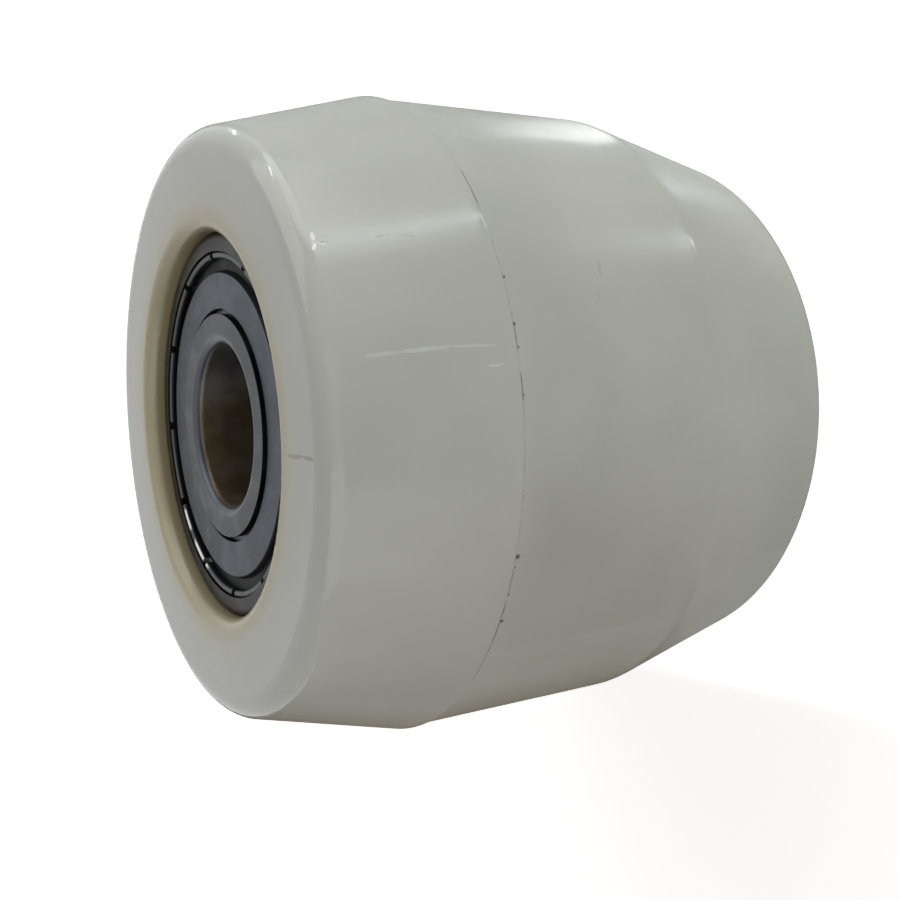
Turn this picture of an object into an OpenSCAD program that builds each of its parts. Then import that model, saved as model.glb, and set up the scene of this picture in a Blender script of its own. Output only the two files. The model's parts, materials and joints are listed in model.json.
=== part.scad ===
// Barrel guide roller of solid nylon on two shielded ball bearings, for a garage door.
// The axis is +Z. The roller stands on its small end, with the origin in the middle of that face.

/* [Roller] */
// Diameter over the crest
crest_d = 68.8; // [67:0.1:90]
// Length between the two end faces
roller_len = 60; // [50:0.5:90]
// Diameter of the large end, to its sharp corner
large_end_d = 60; // [54:0.5:63]
// Diameter of the small end, to its sharp corner
small_end_d = 59.4; // [54:0.1:63]
// Length of the cone from the large end to the crest
large_cone_len = 17.2; // [14:0.1:21]
// Length of the cone from the small end to the soft ridge
small_cone_len = 18.5; // [15:0.1:22.5]
// Rounding of both rims
rim_r = 2.4; // [0.5:0.1:3]
// Rounding of the soft ridge
ridge_r = 4; // [1:0.5:10]
// Rounding of the crest's edge
crest_r = 0.2; // [0.1:0.05:0.2]
// Step down from the crest at the parting line
parting_step = 0.2; // [0.2:0.05:0.5]
// Depth of the hairline at the foot of that step
parting_nick = 0.1; // [0.1:0.05:0.3]
// Draft of the middle, as loss of radius over its length
middle_draft = 0.1; // [0:0.05:0.5]

/* [Bearing seats] */
// Depth of each bearing's face below its end of the roller
recess = 1.9; // [1:0.1:4]
// Rounding of each pocket's lip
lip_r = 1.3; // [0.3:0.1:1.5]
// Width of the shoulder that holds each outer ring
shoulder_w = 2.4; // [1.5:0.1:3]

/* [Ball bearings] */
// Bore of the bearing
bore_d = 17; // [15:0.5:20]
// Outer diameter of the bearing
bearing_d = 40; // [38:0.5:44]
// Width of the bearing
bearing_w = 12; // [11:0.5:14.5]
// Rounding of the outer ring's corners
outer_corner_r = 0.8; // [0.3:0.1:1]
// Rounding of the bore's corners
bore_corner_r = 1; // [0.3:0.1:1.2]
// Running clearance between a ball and its raceway
race_clear = 0.04; // [0.02:0.01:0.08]

/* [Shields] */
// Thickness of the shield's sheet
sheet_t = 0.3; // [0.2:0.05:0.4]
// Number of notches in the shield's curled rim
notch_count = 12; // [6:1:16]
// Width of each notch
notch_w = 0.9; // [0.5:0.1:1.4]
// Depth of the channel inside the curled rim
channel_depth = 0.9; // [0.6:0.1:1]
// Depth of the flat disc below the ring's face
disc_depth = 0.3; // [0.2:0.05:0.4]

/* [Cages] */
// Thickness of the cage's sheet
cage_t = 0.5; // [0.3:0.05:0.6]
// Clearance between a ball and its pocket in the cage
pocket_clear = 0.1; // [0.05:0.05:0.2]
// Diameter of a rivet's shank
rivet_d = 1; // [0.6:0.1:1.2]

/* [Spacer sleeve] */
// Wall thickness of the sleeve between the inner rings
sleeve_wall = 2.6; // [1.5:0.1:3]
// Gap around the axle inside the sleeve
sleeve_clear = 0.3; // [0.1:0.1:0.6]

/* [Hidden] */
$fn = 72;

// Balls in each bearing, one node each
ball_count = 8;

// How far a cutter runs past the faces it opens
past = 1;

// Proportions of a deep-groove ball bearing of this light series
bore_r = bore_d / 2;
bearing_r = bearing_d / 2;
half_w = bearing_w / 2;
pitch_r = (bore_r + bearing_r) / 2;
ball_r = 0.1466 * (bearing_d - bore_d);
groove_r = 1.04 * ball_r;
inner_shoulder_r = pitch_r - 0.6 * ball_r;
outer_shoulder_r = pitch_r + 0.7 * ball_r;
// Step at each end of the inner ring, and the outer ring's face outside the shield
inner_step = 0.6;
land_w = 2;
inner_face_r = inner_shoulder_r - inner_step;
seat_r = bearing_r - land_w;
seat_depth = channel_depth + sheet_t;

// Shield: curled rim outside, channel, then the flat disc round the inner ring
curl_r = 0.37;
curl_top = 0.1;
disc_inset = 2.2;
disc_gap = 0.55;
bevel = 0.3;
rim_inner = seat_r - 2 * curl_r;
disc_outer_r = seat_r - disc_inset;
disc_inner_r = inner_face_r + disc_gap;

// Cage: a ribbon between the two shoulders
ribbon_inner_r = pitch_r - 0.37 * ball_r;
ribbon_outer_r = pitch_r + 0.4 * ball_r;
pocket_r = ball_r + pocket_clear;
ball_step = 360 / ball_count;

// Heights along the axis
crest_z = roller_len - large_cone_len;
ridge_z = small_cone_len;
large_bearing_z = roller_len - recess - half_w;
small_bearing_z = recess + half_w;
seat_len = recess + bearing_w;
sleeve_len = roller_len - 2 * seat_len;

crest_r_max = crest_d / 2;
cone_angle = atan((crest_r_max - large_end_d / 2) / large_cone_len);
crest_tip_r = crest_r_max + crest_r * (1 / tan((90 - cone_angle) / 2) - 1);
foot_r = crest_r_max - parting_step;
ridge_radius = foot_r - middle_draft;

steel = [0.50, 0.52, 0.56];
bright_steel = [0.66, 0.67, 0.69];
sheet_steel = [0.42, 0.44, 0.48];
nylon = [0.78, 0.78, 0.72];

function unit(v) = v / norm(v);

// Cutter that turns a sharp convex corner into a round.
// along_a and along_b point from the tip along the corner's two edges.
module corner_waste(tip, along_a, along_b, radius) {
    a = unit(along_a);
    b = unit(along_b);
    half_angle = acos(a * b) / 2;
    reach = radius / tan(half_angle);
    centre = tip + unit(a + b) * radius / sin(half_angle);
    past_surface = 1.2;
    difference() {
        polygon([
            centre,
            centre + (tip + a * reach - centre) * past_surface,
            centre + (tip - centre) * past_surface,
            centre + (tip + b * reach - centre) * past_surface
        ]);
        translate(centre)
            circle(r = radius);
    }
}

module ring_of(count) {
    for (i = [0 : count - 1])
        rotate(i * 360 / count)
            children();
}

// Half section of the nylon body, radius along x and height along y
module body_section() {
    bore = bearing_r - shoulder_w;
    large_rim = [large_end_d / 2, roller_len];
    crest = [crest_tip_r, crest_z];
    foot = [foot_r, crest_z - parting_nick];
    ridge = [ridge_radius, ridge_z];
    small_rim = [small_end_d / 2, 0];
    difference() {
        polygon([
            [bore, seat_len],
            [bearing_r, seat_len],
            [bearing_r, 0],
            small_rim,
            ridge,
            foot,
            [foot_r - parting_nick, crest_z],
            crest,
            large_rim,
            [bearing_r, roller_len],
            [bearing_r, roller_len - seat_len],
            [bore, roller_len - seat_len]
        ]);
        corner_waste(large_rim, [-1, 0], crest - large_rim, rim_r);
        corner_waste(small_rim, [-1, 0], ridge - small_rim, rim_r);
        corner_waste(crest, large_rim - crest, [-1, 0], crest_r);
        corner_waste(ridge, small_rim - ridge, foot - ridge, ridge_r);
        corner_waste([bearing_r, roller_len], [1, 0], [0, -1], lip_r);
        corner_waste([bearing_r, 0], [1, 0], [0, 1], lip_r);
    }
}

module roller_body() {
    color(nylon)
        rotate_extrude()
            body_section();
}

module spacer_sleeve() {
    inner = bore_r + sleeve_clear;
    outer = inner + sleeve_wall;
    edge = 0.4;
    color(steel)
        translate([0, 0, seat_len])
            rotate_extrude()
                polygon([
                    [inner, 0], [outer - edge, 0], [outer, edge],
                    [outer, sleeve_len - edge], [outer - edge, sleeve_len], [inner, sleeve_len]
                ]);
}

// The bearing's pieces are drawn about the middle of its width, with the outer face upward

module outer_ring() {
    color(steel)
        rotate_extrude()
            difference() {
                translate([outer_shoulder_r, -half_w])
                    square([bearing_r - outer_shoulder_r, bearing_w]);
                translate([pitch_r + ball_r + race_clear - groove_r, 0])
                    circle(r = groove_r);
                for (side = [-1, 1])
                    scale([1, side])
                        shield_seat();
                corner_waste([bearing_r, half_w], [-1, 0], [0, -1], outer_corner_r);
                corner_waste([bearing_r, -half_w], [-1, 0], [0, 1], outer_corner_r);
            }
}

// Step in the outer ring that holds a shield's rim
module shield_seat() {
    translate([outer_shoulder_r - past, half_w - seat_depth])
        square([seat_r - outer_shoulder_r + past, seat_depth + past]);
}

module inner_ring() {
    color(bright_steel)
        rotate_extrude()
            difference() {
                polygon([
                    [bore_r, -half_w], [inner_face_r, -half_w],
                    [inner_face_r, -half_w + channel_depth], [inner_shoulder_r, -half_w + channel_depth],
                    [inner_shoulder_r, half_w - channel_depth], [inner_face_r, half_w - channel_depth],
                    [inner_face_r, half_w], [bore_r, half_w]
                ]);
                translate([pitch_r - ball_r - race_clear + groove_r, 0])
                    circle(r = groove_r);
                corner_waste([bore_r, half_w], [1, 0], [0, -1], bore_corner_r);
                corner_waste([bore_r, -half_w], [1, 0], [0, 1], bore_corner_r);
            }
}

// Half section of the pressed shield
module shield_section() {
    floor_z = half_w - channel_depth;
    disc_z = half_w - disc_depth;
    curl_z = half_w - curl_top - curl_r;
    union() {
        translate([rim_inner, floor_z - sheet_t])
            square([seat_r - rim_inner, curl_z - floor_z + sheet_t]);
        translate([seat_r - curl_r, curl_z])
            circle(r = curl_r);
        polygon([
            [seat_r - curl_r, floor_z - sheet_t],
            [seat_r - curl_r, floor_z],
            [disc_outer_r + bevel, floor_z],
            [disc_outer_r, disc_z],
            [disc_inner_r, disc_z],
            [disc_inner_r, disc_z - sheet_t],
            [disc_outer_r - bevel, disc_z - sheet_t],
            [disc_outer_r, floor_z - sheet_t]
        ]);
    }
}

module shield() {
    notch_past = 0.1;
    color(sheet_steel)
        difference() {
            rotate_extrude()
                shield_section();
            ring_of(notch_count)
                translate([rim_inner - notch_past, -notch_w / 2, half_w - channel_depth])
                    cube([2 * (curl_r + notch_past), notch_w, channel_depth + past]);
        }
}

module outer_shield() {
    shield();
}

module inner_shield() {
    mirror([0, 0, 1])
        shield();
}

// One pressed half of the cage: flats between the balls and a cup round each ball
module cage_half() {
    color(bright_steel)
        difference() {
            intersection() {
                union() {
                    cylinder(r = ribbon_outer_r + past, h = cage_t);
                    ring_of(ball_count)
                        translate([pitch_r, 0, 0])
                            sphere(r = pocket_r + cage_t);
                }
                difference() {
                    cylinder(r = ribbon_outer_r, h = half_w);
                    translate([0, 0, -past])
                        cylinder(r = ribbon_inner_r, h = half_w + 2 * past);
                }
            }
            ring_of(ball_count)
                translate([pitch_r, 0, 0])
                    sphere(r = pocket_r);
            rivet_places()
                translate([0, 0, -past])
                    cylinder(d = rivet_d, h = cage_t + 2 * past);
        }
}

module cage_outer_half() {
    cage_half();
}

module cage_inner_half() {
    mirror([0, 0, 1])
        cage_half();
}

module rivet_places() {
    rotate(ball_step / 2)
        ring_of(ball_count)
            translate([pitch_r, 0, 0])
                children();
}

// Rivets through the flats of both halves, with a low head at each end
module cage_rivets() {
    head_d = 1.8 * rivet_d;
    head_top_d = 1.2 * rivet_d;
    head_h = 0.35;
    color(steel)
        rivet_places()
            union() {
                translate([0, 0, -cage_t])
                    cylinder(d = rivet_d, h = 2 * cage_t);
                for (side = [0, 1])
                    mirror([0, 0, side])
                        translate([0, 0, cage_t])
                            cylinder(d1 = head_d, d2 = head_top_d, h = head_h);
            }
}

module ball(number) {
    color(bright_steel)
        rotate((number - 1) * ball_step)
            translate([pitch_r, 0, 0])
                sphere(r = ball_r);
}

module large_end() {
    translate([0, 0, large_bearing_z])
        children();
}

module small_end() {
    translate([0, 0, small_bearing_z])
        mirror([0, 0, 1])
            children();
}

roller_body();
spacer_sleeve();
large_end() outer_ring();  // large_end_outer_ring
large_end() inner_ring();  // large_end_inner_ring
large_end() outer_shield();  // large_end_outer_shield
large_end() inner_shield();  // large_end_inner_shield
large_end() cage_outer_half();  // large_end_cage_outer_half
large_end() cage_inner_half();  // large_end_cage_inner_half
large_end() cage_rivets();  // large_end_cage_rivets
large_end() ball(1);  // large_end_ball_1
large_end() ball(2);  // large_end_ball_2
large_end() ball(3);  // large_end_ball_3
large_end() ball(4);  // large_end_ball_4
large_end() ball(5);  // large_end_ball_5
large_end() ball(6);  // large_end_ball_6
large_end() ball(7);  // large_end_ball_7
large_end() ball(8);  // large_end_ball_8
small_end() outer_ring();  // small_end_outer_ring
small_end() inner_ring();  // small_end_inner_ring
small_end() outer_shield();  // small_end_outer_shield
small_end() inner_shield();  // small_end_inner_shield
small_end() cage_outer_half();  // small_end_cage_outer_half
small_end() cage_inner_half();  // small_end_cage_inner_half
small_end() cage_rivets();  // small_end_cage_rivets
small_end() ball(1);  // small_end_ball_1
small_end() ball(2);  // small_end_ball_2
small_end() ball(3);  // small_end_ball_3
small_end() ball(4);  // small_end_ball_4
small_end() ball(5);  // small_end_ball_5
small_end() ball(6);  // small_end_ball_6
small_end() ball(7);  // small_end_ball_7
small_end() ball(8);  // small_end_ball_8
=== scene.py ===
import json
import math

import bpy
from mathutils import Matrix, Vector


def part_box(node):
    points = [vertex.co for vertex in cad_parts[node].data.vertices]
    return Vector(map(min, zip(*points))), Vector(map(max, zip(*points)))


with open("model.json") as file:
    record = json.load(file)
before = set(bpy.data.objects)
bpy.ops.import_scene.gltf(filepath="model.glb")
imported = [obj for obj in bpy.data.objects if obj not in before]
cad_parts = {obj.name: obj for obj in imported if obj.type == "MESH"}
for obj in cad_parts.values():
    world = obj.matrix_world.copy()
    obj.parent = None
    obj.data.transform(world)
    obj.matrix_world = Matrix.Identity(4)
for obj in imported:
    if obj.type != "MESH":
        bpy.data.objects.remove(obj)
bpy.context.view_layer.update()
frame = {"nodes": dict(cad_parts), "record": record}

NODES = frame["nodes"]
scene = bpy.context.scene
scene.view_settings.view_transform = "Standard"

# ---------------------------------------------------------------- sizes read from the frame, in millimetres
MM = 1000.0
body_low, body_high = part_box("roller_body")
TOP = body_high[2] * MM
_, ring_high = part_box("large_end_outer_ring")
RING_R = ring_high[0] * MM
BORE_R = next(m for m in frame["record"]["mounts"] if m["name"] == "axle_bore")["dims"]["r_mm"]
SEAM_Z = 42.74  # the parting line, just below the crest
RIDGE_Z = 18.5  # where the middle meets the small cone
RIM_START_R = 27.6  # the rounded rims of both end faces begin here


# ---------------------------------------------------------------- node graph helper
class Graph:
    """Builds one procedural material around a Principled shader."""

    def __init__(self, name):
        self.mat = bpy.data.materials.new(name)
        self.mat.use_nodes = True
        self.tree = self.mat.node_tree
        self.tree.nodes.clear()
        self.out = self.tree.nodes.new("ShaderNodeOutputMaterial")
        self.bsdf = self.tree.nodes.new("ShaderNodeBsdfPrincipled")
        self.link(self.bsdf.outputs[0], self.out.inputs["Surface"])
        coords = self.tree.nodes.new("ShaderNodeTexCoord")
        self.p = self.vec("SCALE", coords.outputs["Object"], scale=MM)
        split = self.tree.nodes.new("ShaderNodeSeparateXYZ")
        self.link(self.p, split.inputs[0])
        self.x, self.y, self.z = split.outputs
        self.r = self.math("SQRT", self.math("ADD", self.math("MULTIPLY", self.x, self.x),
                                             self.math("MULTIPLY", self.y, self.y)))
        self.phi = self.math("ARCTAN2", self.y, self.x)
        self.degrees = self.math("MULTIPLY", self.phi, 180 / math.pi)
        self.sway = None

    def link(self, a, b):
        self.tree.links.new(a, b)

    def put(self, socket, value):
        """Links another node's socket, or sets a plain value."""
        if isinstance(value, bpy.types.NodeSocket):
            self.link(value, socket)
        elif value is not None:
            socket.default_value = value

    def math(self, op, a, b=None, clamp=False):
        n = self.tree.nodes.new("ShaderNodeMath")
        n.operation = op
        n.use_clamp = clamp
        for s, v in zip(n.inputs, (a, b)):
            self.put(s, v)
        return n.outputs[0]

    def vec(self, op, a, b=None, scale=None):
        n = self.tree.nodes.new("ShaderNodeVectorMath")
        n.operation = op
        self.put(n.inputs[0], a)
        if b is not None:
            self.put(n.inputs[1], b)
        if scale is not None:
            self.put(n.inputs["Scale"], scale)
        return n.outputs["Value"] if op in ("LENGTH", "DISTANCE", "DOT_PRODUCT") else n.outputs["Vector"]

    def xyz(self, x, y, z):
        n = self.tree.nodes.new("ShaderNodeCombineXYZ")
        for s, v in zip(n.inputs, (x, y, z)):
            self.put(s, v)
        return n.outputs[0]

    def noise(self, vector, scale=1.0, detail=3.0, rough=0.5):
        n = self.tree.nodes.new("ShaderNodeTexNoise")
        self.link(vector, n.inputs["Vector"])
        n.inputs["Scale"].default_value = scale
        n.inputs["Detail"].default_value = detail
        n.inputs["Roughness"].default_value = rough
        return n.outputs["Fac"]

    def ramp(self, value, lo, hi, out_lo=0.0, out_hi=1.0):
        """A smooth step from out_lo at lo to out_hi at hi."""
        n = self.tree.nodes.new("ShaderNodeMapRange")
        n.interpolation_type = "SMOOTHSTEP"
        self.put(n.inputs["Value"], value)
        for name, v in (("From Min", lo), ("From Max", hi), ("To Min", out_lo), ("To Max", out_hi)):
            n.inputs[name].default_value = v
        return n.outputs[0]

    def mix(self, fac, a, b):
        """Colour a, going over to colour b with fac."""
        n = self.tree.nodes.new("ShaderNodeMix")
        n.data_type = "RGBA"
        self.put(n.inputs[0], fac)
        for s, v in ((n.inputs[6], a), (n.inputs[7], b)):
            if isinstance(v, tuple):
                v = (*v, 1.0)
            self.put(s, v)
        return n.outputs[2]

    def near(self, point, radius):
        """1 inside a small ball round a point, 0 outside, with a soft edge."""
        return self.ramp(self.vec("DISTANCE", self.p, point), radius * 1.5, radius * 0.5)

    def scratch(self, a, b, width, wander=0.0):
        """1 on the line from a to b, which sways by the wander."""
        a, b = Vector(a), Vector(b)
        ab = b - a
        if self.sway is None:
            self.sway = self.vec("SUBTRACT", self.noise_colour(1.1), (0.5, 0.5, 0.5))
        p = self.vec("ADD", self.p, self.vec("SCALE", self.sway, scale=wander))
        rel = self.vec("SUBTRACT", p, tuple(a))  # from a, and t is how far along the line it lies, 0 to 1
        t = self.math("DIVIDE", self.vec("DOT_PRODUCT", rel, tuple(ab)), ab.length_squared, clamp=True)
        foot = self.vec("SCALE", self.xyz(*ab), scale=t)
        d = self.vec("DISTANCE", rel, foot)
        # the width tapers to nothing at both ends
        taper = self.math("MULTIPLY", self.math("MULTIPLY", t, self.math("SUBTRACT", 1.0, t)), 4.0)
        w = self.math("MULTIPLY", self.math("POWER", taper, 0.4), width)
        inside = self.math("SUBTRACT", 1.0, self.math("DIVIDE", d, self.math("ADD", w, 0.001)), clamp=True)
        return self.ramp(inside, 0.0, 0.6)

    def noise_colour(self, scale):
        """Three noises in one, for moving a point sideways."""
        n = self.tree.nodes.new("ShaderNodeTexNoise")
        self.link(self.p, n.inputs["Vector"])
        n.inputs["Scale"].default_value = scale
        return n.outputs["Color"]

    def max_of(self, values):
        total = values[0]
        for v in values[1:]:
            total = self.math("MAXIMUM", total, v)
        return total

    def bump(self, height, distance):
        """The normal of a relief whose height of one is this distance in metres."""
        n = self.tree.nodes.new("ShaderNodeBump")
        n.inputs["Distance"].default_value = distance
        self.link(height, n.inputs["Height"])
        return n.outputs[0]

    def arc(self, middle, half, strength=1.0):
        """Up to strength within half degrees of an angle round the axis."""
        away = self.math("ABSOLUTE", self.math("SUBTRACT", self.degrees, middle))
        return self.ramp(away, half, half * 0.6, 0.0, strength)

    def set(self, **values):
        """Sets or links sockets of the Principled shader, with _ for a space in their names."""
        for name, v in values.items():
            s = self.bsdf.inputs[name.replace("_", " ")]
            if isinstance(v, tuple) and len(v) == 3 and s.type == "RGBA":
                v = (*v, 1.0)
            self.put(s, v)


def dress(material, *nodes):
    """Puts the material on CAD nodes."""
    for n in nodes:
        for s in NODES[n].material_slots:
            s.material = material


# ---------------------------------------------------------------- nylon
SEAM_DIRT = [  # angle round the axis in degrees, half length in degrees, strength
    (-81.8, 4.6, 1.0), (-108.0, 2.6, 0.6), (-115.6, 2.4, 0.7), (-146.0, 2.6, 0.5), (-151.5, 1.8, 0.9),
    (-155.6, 3.2, 1.0), (-163.5, 6.0, 0.7), (32.0, 6.0, 0.7), (95.0, 9.0, 0.5), (140.0, 5.0, 0.8)]
SPECKS = [  # point on the seam and its radius
    ((-5.15, -33.74, 42.59), 0.13), ((-9.49, -32.78, 42.64), 0.16), ((-11.48, -32.14, 42.59), 0.11),
    ((-15.37, -30.47, 42.59), 0.10), ((-26.74, -21.21, 42.54), 0.24), ((-27.42, -20.32, 42.59), 0.11),
    ((-29.06, -17.90, 42.59), 0.11), ((-30.57, -15.19, 42.49), 0.19)]
SCRATCHES = [  # small cuts with dirt in them, on the rim, the cone and the end face: ends and half width
    ((0.28, -30.48, 58.14), (0.59, -31.18, 56.07), 0.16),
    ((0.27, -31.86, 52.85), (0.40, -32.32, 51.07), 0.09),
    ((0.40, -32.32, 51.07), (-0.18, -32.74, 49.47), 0.08),
    ((-13.37, -18.23, 60.00), (-15.05, -21.12, 60.00), 0.30),
    ((-15.05, -21.12, 60.00), (-16.40, -23.06, 59.93), 0.26),
    ((-16.40, -23.06, 59.93), (-16.97, -23.02, 59.79), 0.14)]

PAINTED_GLINTS_AND_CHAFES = [  # painted glints and reflections of the lamps, some over chafed lines: ends, half width, strength
    ((1.50, -34.22, 42.95), (-0.60, -34.24, 42.95), 0.26, 0.85),  # two painted glints on the crest's edge
    ((-0.60, -34.24, 42.95), (-2.00, -34.18, 42.95), 0.18, 0.60),
    ((1.64, -30.49, 57.95), (0.77, -30.53, 57.93), 0.26, 0.90),  # three below the large end's rim: painted glints over chafing
    ((-0.19, -30.40, 58.32), (0.44, -30.56, 57.85), 0.22, 0.90),
    ((0.44, -30.56, 57.85), (0.20, -30.76, 57.06), 0.12, 0.60),
    ((2.90, -29.19, 59.48), (0.32, -29.10, 59.57), 0.11, 0.55),  # two painted glints on the rim
    ((8.85, -28.29, 59.34), (8.46, -28.81, 58.86), 0.12, 0.60),
    ((-10.22, -29.34, 55.91), (-10.38, -30.08, 53.00), 0.26, 0.25),  # a long painted reflection down the cone, in three runs
    ((-10.38, -30.08, 53.00), (-10.60, -31.18, 48.72), 0.30, 0.32),
    ((-10.60, -31.18, 48.72), (-11.19, -32.10, 44.65), 0.20, 0.25),
    ((-12.75, -31.22, 45.69), (-12.84, -31.61, 44.18), 0.18, 0.30)]
SMUDGES = [  # brown rubs: ends, half width, strength
    ((-3.40, -33.92, 31.56), (-4.77, -33.75, 31.80), 0.35, 0.22),
    ((-6.31, -33.50, 32.64), (-7.29, -33.30, 32.70), 0.30, 0.18)]


def nylon():
    """Cloudy natural nylon, turned, with the roller's own dirt and wear, painted glints, a painted reflection
    and painted shade.
    """
    g = Graph("natural_nylon")
    # grows along the profile, flats and cones alike
    along = g.math("SUBTRACT", g.z, g.math("MULTIPLY", g.r, 0.6))
    cloudy = g.noise(g.p, 0.055, 2.0)
    mottled = g.noise(g.p, 0.35, 2.0, 0.6)
    colour = g.mix(g.ramp(cloudy, 0.3, 0.7), (0.585, 0.600, 0.535), (0.640, 0.650, 0.590))
    colour = g.mix(g.ramp(mottled, 0.35, 0.8, 0.0, 0.06), colour, (0.56, 0.575, 0.50))
    # the end face turns warmer and a little darker towards each pocket; the pocket's edge and wall are a
    # yellowed stain with painted shade
    to_end = g.math("MINIMUM", g.z, g.math("SUBTRACT", TOP, g.z))
    face = g.math("MULTIPLY", g.ramp(g.r, RING_R + 8.5, RING_R + 1.5), g.ramp(to_end, 2.2, 0.6))
    colour = g.mix(g.math("MULTIPLY", face, 0.55), colour, (0.56, 0.535, 0.44))
    pocket = g.math("MULTIPLY", g.ramp(g.r, RING_R + 3.6, RING_R + 0.9), g.ramp(to_end, 13.0, 8.0))
    colour = g.mix(g.math("MULTIPLY", pocket, 0.86), colour, (0.53, 0.465, 0.275))
    # painted shade in the pocket, darkest next to the ring
    painted_pocket_shade = g.math("MULTIPLY", g.ramp(g.r, RING_R + 1.0, RING_R + 0.1), g.ramp(to_end, 0.3, 1.6))
    colour = g.mix(g.math("MULTIPLY", painted_pocket_shade, 0.85), colour, (0.34, 0.29, 0.17))
    # dust held by the parting line
    off_seam = g.math("ABSOLUTE", g.math("SUBTRACT", g.z, SEAM_Z))
    spans = [g.arc(*span) for span in SEAM_DIRT]
    broken = g.ramp(g.noise(g.xyz(g.phi, 0.0, 0.0), 38.0, 2.0, 0.7), 0.42, 0.62)
    held = g.math("ADD", g.math("MULTIPLY", g.max_of(spans), 0.85), g.math("MULTIPLY", broken, 0.30),
                  clamp=True)
    line = g.math("MULTIPLY", g.ramp(off_seam, 0.16, 0.05), held)
    specks = g.max_of([g.near(point, radius) for point, radius in SPECKS])
    colour = g.mix(g.math("MULTIPLY", line, 0.85), colour, (0.120, 0.098, 0.062))
    colour = g.mix(g.math("MULTIPLY", specks, 0.88), colour, (0.070, 0.060, 0.045))
    cuts = g.max_of([g.scratch(a, b, w, 0.35) for a, b, w in SCRATCHES])
    colour = g.mix(g.math("MULTIPLY", cuts, 0.55), colour, (0.22, 0.20, 0.11))
    # painted glints and reflections, some over chafing, lighten the nylon nearly to white
    for a, b, w, strength in PAINTED_GLINTS_AND_CHAFES:
        colour = g.mix(g.math("MULTIPLY", g.scratch(a, b, w, 0.2), strength), colour, (0.95, 0.96, 0.95))
    for a, b, w, strength in SMUDGES:
        colour = g.mix(g.math("MULTIPLY", g.scratch(a, b, w, 0.9), strength), colour, (0.34, 0.26, 0.14))
    # fine marks from turning, pores and long low waves
    turned = g.noise(g.xyz(g.math("MULTIPLY", along, 5.0), g.math("MULTIPLY", g.phi, 1.2), 0.0),
                     1.0, 2.0, 0.6)
    pores = g.noise(g.p, 2.4, 1.0, 0.6)
    waves = g.noise(g.xyz(g.math("MULTIPLY", along, 0.25), g.math("MULTIPLY", g.phi, 6.0), 0.0),
                    1.0, 1.0, 0.5)
    # handling has polished the rims, the crest's edge and the ridge; the flanks stay satin
    rims = g.math("MULTIPLY", g.ramp(to_end, 2.2, 1.7), g.ramp(g.r, RIM_START_R, RIM_START_R + 1.0))
    crest = g.ramp(g.math("ABSOLUTE", g.math("SUBTRACT", g.z, SEAM_Z + 0.3)), 0.7, 0.35)
    ridge = g.ramp(g.math("ABSOLUTE", g.math("SUBTRACT", g.z, RIDGE_Z)), 1.0, 0.5)
    edges = g.max_of([rims, crest, ridge])
    satin = g.ramp(cloudy, 0.3, 0.7, 0.21, 0.25)
    rough = g.math("SUBTRACT", satin, g.math("MULTIPLY", edges, 0.14))
    height = g.math("ADD", g.math("MULTIPLY", turned, 0.30), g.math("MULTIPLY", pores, 0.05))
    height = g.math("ADD", height, g.math("MULTIPLY", waves, 1.6))
    g.set(Base_Color=colour, Roughness=rough, Normal=g.bump(height, 0.00003), IOR=1.53,
          Specular_IOR_Level=0.42, Subsurface_Weight=0.35, Subsurface_Radius=(1.0, 0.92, 0.70),
          Subsurface_Scale=0.0035)
    g.bsdf.subsurface_method = "BURLEY"
    return g.mat


# ---------------------------------------------------------------- steels
GRIME = (0.10, 0.08, 0.06)


def steel(name, base, dark, rough, ring_marks=9.0, grime_amount=0.35, axial=False, wear=None):
    """Turned or ground steel between two colours: fine marks run round the axis, ring_marks to a millimetre
    across, or along the axis on a tube, and wear adds what is special to a piece, with painted shade and
    highlights."""
    g = Graph(name)
    run = g.z if axial else g.r
    marks = g.noise(g.xyz(g.math("MULTIPLY", run, ring_marks), g.math("MULTIPLY", g.phi, 0.8), 0.0),
                    1.0, 4.0, 0.65)
    patches = g.noise(g.p, 0.30, 4.0, 0.6)
    fine = g.noise(g.p, 3.2, 3.0, 0.6)
    colour = g.mix(g.ramp(marks, 0.3, 0.7), dark, base)
    colour = g.mix(g.ramp(patches, 0.45, 0.8, 0.0, grime_amount), colour, GRIME)
    gloss = g.math("ADD", g.ramp(patches, 0.3, 0.7, rough - 0.05, rough + 0.08),
                   g.math("MULTIPLY", g.math("SUBTRACT", fine, 0.5), 0.10))
    if wear:
        colour, gloss = wear(g, colour, gloss)
    g.set(Base_Color=colour, Metallic=1.0, Roughness=gloss,
          Normal=g.bump(g.math("ADD", marks, g.math("MULTIPLY", fine, 0.5)), 0.000012))
    return g


def shield_tone_shade_and_highlight(g, colour, gloss):
    """A grey tone on the curled rim, a painted highlight on one side of it, and painted shade in the channel.
    """
    channel = g.math("MULTIPLY", g.ramp(g.r, RING_R - 4.3, RING_R - 4.05),
                     g.ramp(g.r, RING_R - 2.62, RING_R - 2.72))
    curl = g.ramp(g.r, RING_R - 2.72, RING_R - 2.55)
    # painted highlight: two arcs on one side of the curl are painted light
    painted_curl_highlight = g.math("MULTIPLY", curl, g.math("MAXIMUM", g.arc(98.0, 5.5), g.arc(116.0, 9.5)))
    colour = g.mix(g.math("MULTIPLY", curl, 0.55), colour, (0.100, 0.098, 0.090))
    colour = g.mix(g.math("MULTIPLY", painted_curl_highlight, 0.9), colour, (0.62, 0.62, 0.60))
    # painted shade: the channel between the disc and the curl goes nearly black
    colour = g.mix(g.math("MULTIPLY", channel, 0.92), colour, (0.006, 0.006, 0.0055))
    return colour, g.math("ADD", gloss, g.math("MULTIPLY", channel, 0.15))


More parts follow.
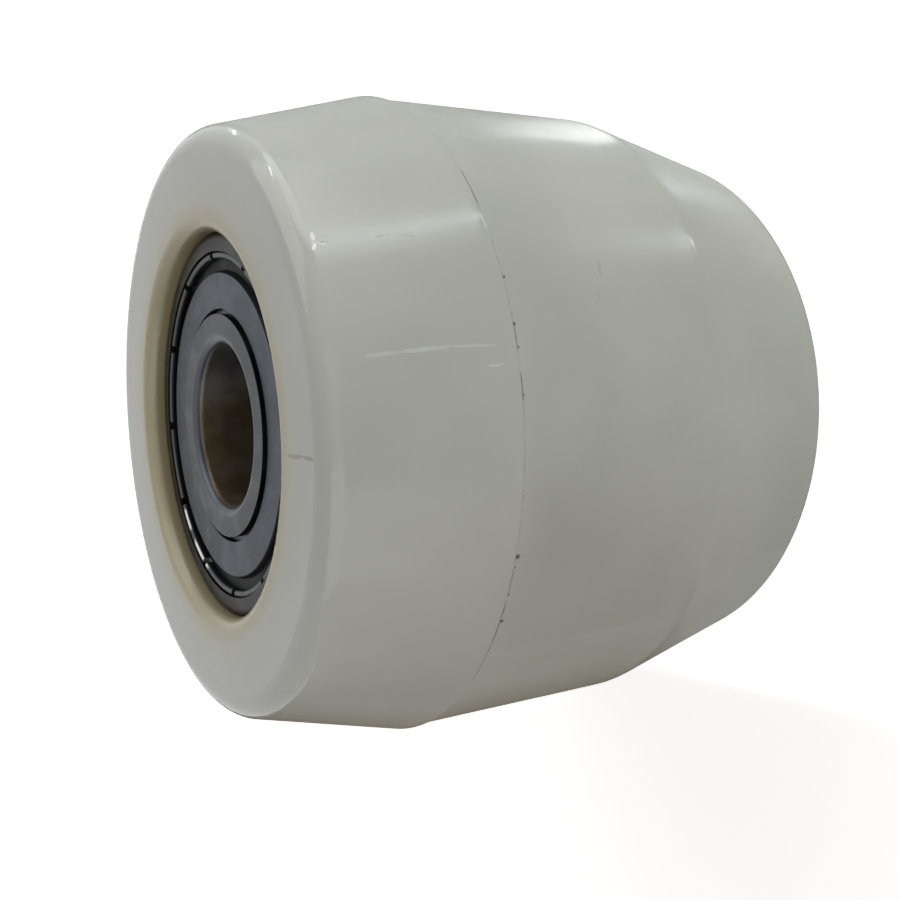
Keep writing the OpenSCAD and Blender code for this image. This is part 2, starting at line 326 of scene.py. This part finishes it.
def outer_ring_wear(g, colour, gloss):
    """Old oil browns one side of the face."""
    oily = g.math("MULTIPLY", g.arc(40.0, 75.0), g.ramp(g.noise(g.p, 0.45, 3.0, 0.6), 0.35, 0.65, 0.5, 1.0))
    return g.mix(g.math("MULTIPLY", oily, 0.7), colour, (0.050, 0.041, 0.025)), gloss


def inner_ring_wear_and_highlight(g, colour, gloss):
    """The bore is brown with old oil and rust, and its rounded edge is painted lighter all round, partly worn
    bright, partly a painted highlight.
    """
    bore = g.ramp(g.r, BORE_R + 0.10, BORE_R + 0.03)
    edge = g.math("MULTIPLY", g.ramp(g.r, BORE_R + 1.15, BORE_R + 0.8),
                  g.ramp(g.r, BORE_R + 0.1, BORE_R + 0.35))
    rusty = g.math("MULTIPLY", g.arc(95.0, 75.0), g.ramp(g.noise(g.p, 0.35, 4.0, 0.6), 0.35, 0.6, 0.55, 1.0))
    # painted highlight, partly wear: the bore's rounded edge lighter all round
    colour = g.mix(g.math("MULTIPLY", edge, 0.6), colour, (0.11, 0.115, 0.125))
    colour = g.mix(bore, colour, g.mix(rusty, (0.150, 0.145, 0.135), (0.130, 0.098, 0.056)))
    return colour, g.math("ADD", gloss, g.math("MULTIPLY", bore, 0.12))


outer_ring = steel("oily_ring_steel", (0.003, 0.003, 0.004), (0.001, 0.001, 0.002), 0.36,
                   wear=outer_ring_wear)
inner_ring = steel("ground_ring_steel", (0.028, 0.033, 0.042), (0.018, 0.022, 0.029), 0.34,
                   wear=inner_ring_wear_and_highlight)
shield = steel("plated_shield_steel", (0.034, 0.044, 0.062), (0.024, 0.032, 0.046), 0.38, 6.0,
               wear=shield_tone_shade_and_highlight)
cage = steel("pressed_cage_steel", (0.52, 0.50, 0.47), (0.42, 0.40, 0.37), 0.35, 4.0)
ball = steel("ball_steel", (0.66, 0.66, 0.67), (0.60, 0.60, 0.61), 0.12, 2.0, grime_amount=0.1)
sleeve = steel("sleeve_steel", (0.34, 0.29, 0.24), (0.24, 0.20, 0.16), 0.42, 5.0, axial=True)

dress(nylon(), "roller_body")
dress(sleeve.mat, "spacer_sleeve")
for end in ("large_end", "small_end"):
    dress(outer_ring.mat, f"{end}_outer_ring")
    dress(inner_ring.mat, f"{end}_inner_ring")
    dress(shield.mat, f"{end}_outer_shield", f"{end}_inner_shield")
    dress(cage.mat, f"{end}_cage_outer_half", f"{end}_cage_inner_half", f"{end}_cage_rivets")
    dress(ball.mat, *[f"{end}_ball_{i}" for i in range(1, 9)])

# ---------------------------------------------------------------- camera
# the picture's own directions in the frame, which also place the lamps and the cards
RIGHT = Vector((-0.31739, -0.4576, -0.83058))
UP = Vector((0.87948, -0.4696, -0.07736))
TOWARD = Vector((-0.35464, -0.75503, 0.5515))
CAMERA_POINT = Vector((-0.058488, -0.106611, 0.099924))

cam_data = bpy.data.cameras.new("camera")
camera = bpy.data.objects.new("camera", cam_data)
scene.collection.objects.link(camera)
turn = Matrix((RIGHT, UP, TOWARD)).transposed()
camera.matrix_world = Matrix.Translation(CAMERA_POINT) @ turn.to_4x4()
cam_data.sensor_width = 36.0
cam_data.lens = 47.689
cam_data.shift_x = -0.0932
cam_data.shift_y = 0.0227
cam_data.clip_start = 0.005
cam_data.clip_end = 20.0
scene.camera = camera

# ---------------------------------------------------------------- light
CENTRE = Vector((0.0, 0.0, (body_low[2] + body_high[2]) / 2))


def lamp(name, place, length, width, radiance, colour, along=None):
    """A rectangular lamp at a place given as right, up and toward in metres, facing the roller, its length
    along a direction."""
    data = bpy.data.lights.new(name, "AREA")
    data.shape = "RECTANGLE"
    data.size = length
    data.size_y = width
    data.energy = radiance * math.pi * length * width
    data.color = colour
    o = bpy.data.objects.new(name, data)
    scene.collection.objects.link(o)
    where = CENTRE + RIGHT * place[0] + UP * place[1] + TOWARD * place[2]
    back = (where - CENTRE).normalized()
    x = (along or RIGHT.cross(back)).copy()
    x = (x - back * x.dot(back)).normalized()
    y = back.cross(x)
    o.matrix_world = Matrix.Translation(where) @ Matrix((x, y, back)).transposed().to_4x4()


# ceiling tubes run parallel: ALONG and ACROSS are their run and the row's direction, as right and toward
ALONG, ACROSS = (0.72, -0.69), (0.69, 0.72)
TUBE_RUN = (RIGHT * ALONG[0] + TOWARD * ALONG[1]).normalized()
TUBE_UP, TUBE_WIDTH = 0.8, 0.01
COOL_WHITE, WHITE = (0.93, 0.98, 1.0), (1.0, 1.0, 1.0)


def tube(name, side, start, end, radiance):
    """One tube, with its side and its ends as shares of its height over the roller."""
    middle = (start + end) / 2
    right, toward = (ACROSS[i] * side + ALONG[i] * middle for i in (0, 1))
    lamp(name, (TUBE_UP * right, TUBE_UP, TUBE_UP * toward), TUBE_UP * (end - start), TUBE_WIDTH, radiance,
         COOL_WHITE, TUBE_RUN)


tube("tube_front_left", 0.50, -0.25, 0.10, 40.0)
tube("tube_front_right", 0.57, 0.74, 0.98, 65.0)
tube("tube_middle_left", -0.30, -0.42, -0.26, 60.0)
tube("tube_middle", -0.20, 0.05, 0.30, 18.0)
tube("tube_middle_right", -0.13, 0.92, 1.12, 110.0)
tube("tube_back_left", -0.96, -0.10, 0.80, 34.0)
tube("tube_back_right", -0.66, 0.88, 1.04, 230.0)
SOFT_SIZE = 1.0
for name, place, radiance in (
        ("ceiling", (0.0, 1.2, 0.2), 2.02), ("front", (0.0, 0.0, 1.3), 0.46),
        ("low_front", (0.0, -0.8, 0.9), 1.2), ("upper_left", (-0.9, 0.8, 0.3), 1.2),
        ("low_right", (0.8, -0.7, 0.5), 0.75)):
    lamp(name, place, SOFT_SIZE, SOFT_SIZE, radiance, WHITE)


def seen_directly(tree):
    """1 for camera, glossy and transmission rays, which see the plain white background."""
    paths = tree.nodes.new("ShaderNodeLightPath")
    total = paths.outputs["Is Camera Ray"]
    for kind in ("Is Glossy Ray", "Is Transmission Ray"):
        n = tree.nodes.new("ShaderNodeMath")
        n.operation = "ADD"
        n.use_clamp = True
        tree.links.new(total, n.inputs[0])
        tree.links.new(paths.outputs[kind], n.inputs[1])
        total = n.outputs[0]
    return total


world = bpy.data.worlds.new("studio")
scene.world = world
world.use_nodes = True
wt = world.node_tree
wt.nodes.clear()
plain = wt.nodes.new("ShaderNodeBackground")
plain.inputs[0].default_value = (1.0, 1.0, 1.0, 1.0)
plain.inputs[1].default_value = 1.0
soft = wt.nodes.new("ShaderNodeBackground")
soft.inputs[0].default_value = (0.97, 0.98, 1.0, 1.0)
soft.inputs[1].default_value = 0.06
pick = wt.nodes.new("ShaderNodeMixShader")
wt.links.new(seen_directly(wt), pick.inputs[0])
wt.links.new(soft.outputs[0], pick.inputs[1])
wt.links.new(plain.outputs[0], pick.inputs[2])
world_out = wt.nodes.new("ShaderNodeOutputWorld")
wt.links.new(pick.outputs[0], world_out.inputs[0])

# ---------------------------------------------------------------- floor
FLOOR_HALF = 3.0
FLOOR_GAP = 0.0002
corners = [(-1, -1), (1, -1), (1, 1), (-1, 1)]
floor_mesh = bpy.data.meshes.new("floor")
floor_mesh.from_pydata([(FLOOR_HALF * x, FLOOR_HALF * y, 0) for x, y in corners], [], [(0, 1, 2, 3)])
floor = bpy.data.objects.new("floor", floor_mesh)
floor.location = (0, 0, body_low[2] - FLOOR_GAP)
scene.collection.objects.link(floor)
fm = bpy.data.materials.new("pale_floor")
fm.use_nodes = True
ft = fm.node_tree
ft.nodes.clear()


def floor_node(kind, **inputs):
    """A node of the floor's material, with _ for a space in its sockets' names."""
    n = ft.nodes.new(kind)
    for name, v in inputs.items():
        s = n.inputs[name.replace("_", " ")]
        if isinstance(v, bpy.types.NodeSocket):
            ft.links.new(v, s)
        else:
            s.default_value = v
    return n


# the camera and reflections see the floor white, dimmed where the roller shades it, and evenly white
# farther off, where the lamps no longer reach; bounced light sees pale paint. Near the roller the cards
# cover it for reflections.
f_paint = floor_node("ShaderNodeBsdfDiffuse", Color=(0.84, 0.84, 0.84, 1.0))
f_away = floor_node("ShaderNodeVectorMath")
f_away.operation = "LENGTH"
ft.links.new(ft.nodes.new("ShaderNodeTexCoord").outputs["Object"], f_away.inputs[0])
f_glow = floor_node("ShaderNodeMapRange", Value=f_away.outputs["Value"], From_Min=0.06, From_Max=0.5,
                    To_Min=0.80, To_Max=1.0)
f_white = floor_node("ShaderNodeEmission", Color=(1.0, 1.0, 1.0, 1.0), Strength=f_glow.outputs[0])
f_seen = ft.nodes.new("ShaderNodeAddShader")
ft.links.new(f_paint.outputs[0], f_seen.inputs[0])
ft.links.new(f_white.outputs[0], f_seen.inputs[1])
f_mix = ft.nodes.new("ShaderNodeMixShader")
ft.links.new(seen_directly(ft), f_mix.inputs[0])
ft.links.new(f_paint.outputs[0], f_mix.inputs[1])
ft.links.new(f_seen.outputs[0], f_mix.inputs[2])
f_out = floor_node("ShaderNodeOutputMaterial")
ft.links.new(f_mix.outputs[0], f_out.inputs[0])
floor_mesh.materials.append(fm)
floor.visible_shadow = False  # lamps of the turned studio stand below its level

down = -Vector((UP.x, UP.y, 0.0)).normalized()
across = Vector((-down.y, down.x, 0.0))


def card(name, near, far, half, height, colour, bounces):
    """A card flat on the floor, from near to far down the picture, at a height over the roller's foot.
    Reflections meet it in place of the floor, and so does bounced light where bounces is set. The camera
    doesn't."""
    lift = Vector((0.0, 0.0, body_low[2] + height))
    reach = ((near, -half), (far, -half), (far, half), (near, half))
    mesh = bpy.data.meshes.new(name)
    mesh.from_pydata([lift + down * a + across * b for a, b in reach], [], [(0, 1, 2, 3)])
    o = bpy.data.objects.new(name, mesh)
    scene.collection.objects.link(o)
    mat = bpy.data.materials.new(name)
    mat.use_nodes = True
    paint = mat.node_tree.nodes["Principled BSDF"].inputs
    paint["Base Color"].default_value = (*colour, 1.0)
    paint["Roughness"].default_value = 0.7
    mesh.materials.append(mat)
    o.visible_camera = False
    o.visible_shadow = False
    o.visible_diffuse = bounces


# the board lies below the roller as the camera sees it, and the grey card, just clear of the floor, all
# round its foot: the nylon's sides reflect it, and would reflect the white floor too brightly
card("brown_board", near=0.036, far=0.34, half=0.32, height=0.0004, colour=(0.15, 0.095, 0.04), bounces=True)
card("grey_card", near=-0.60, far=0.60, half=0.60, height=-0.0001, colour=(0.78, 0.78, 0.78), bounces=False)
